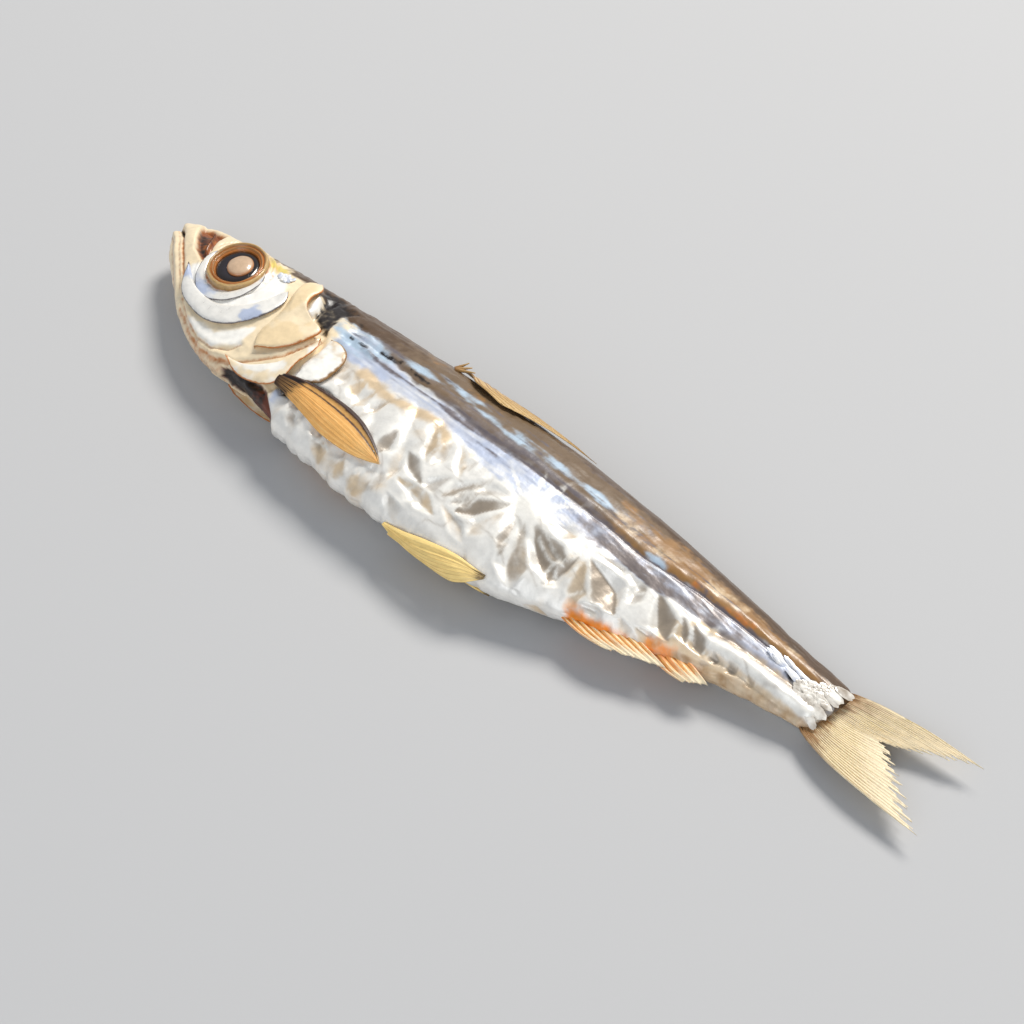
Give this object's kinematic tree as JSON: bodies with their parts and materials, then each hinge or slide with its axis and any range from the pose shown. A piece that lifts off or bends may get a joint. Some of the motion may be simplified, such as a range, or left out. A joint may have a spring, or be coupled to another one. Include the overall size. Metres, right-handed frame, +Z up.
{
  "type": "dried fish",
  "caption": "Small whole sardine-like fish, dried with head, eyes and fins on, lying on its right side.",
  "frame": {"origin": "centre of the bounding box's bottom face, on the surface that the fish lies on", "axes": "+X from the snout to the tail, +Y from the belly to the back, +Z up through the left flank"},
  "size_m": [0.12, 0.0224, 0.0092],
  "materials": {
    "skin": "pearly silver and cream dried skin, wrinkled, semi-gloss",
    "eye": "dark dried iris round a clouded lens, glossy",
    "amber_fin": "translucent amber fin rays, satin",
    "golden_fin": "translucent yellow-gold fin rays, satin",
    "brown_fin": "folded olive-brown fin rays, satin",
    "straw_fin": "straw-coloured fin rays, satin"
  },
  "bodies": {
    "root": {"fish_body": "skin", "eye_left": "eye", "eye_right": "eye", "pectoral_fin_left": "amber_fin", "pectoral_fin_right": "amber_fin", "pelvic_fin_left": "golden_fin", "pelvic_fin_right": "golden_fin", "dorsal_fin": "brown_fin", "anal_fin": "amber_fin", "tail_fin": "straw_fin"}
  },
  "joints": []
}
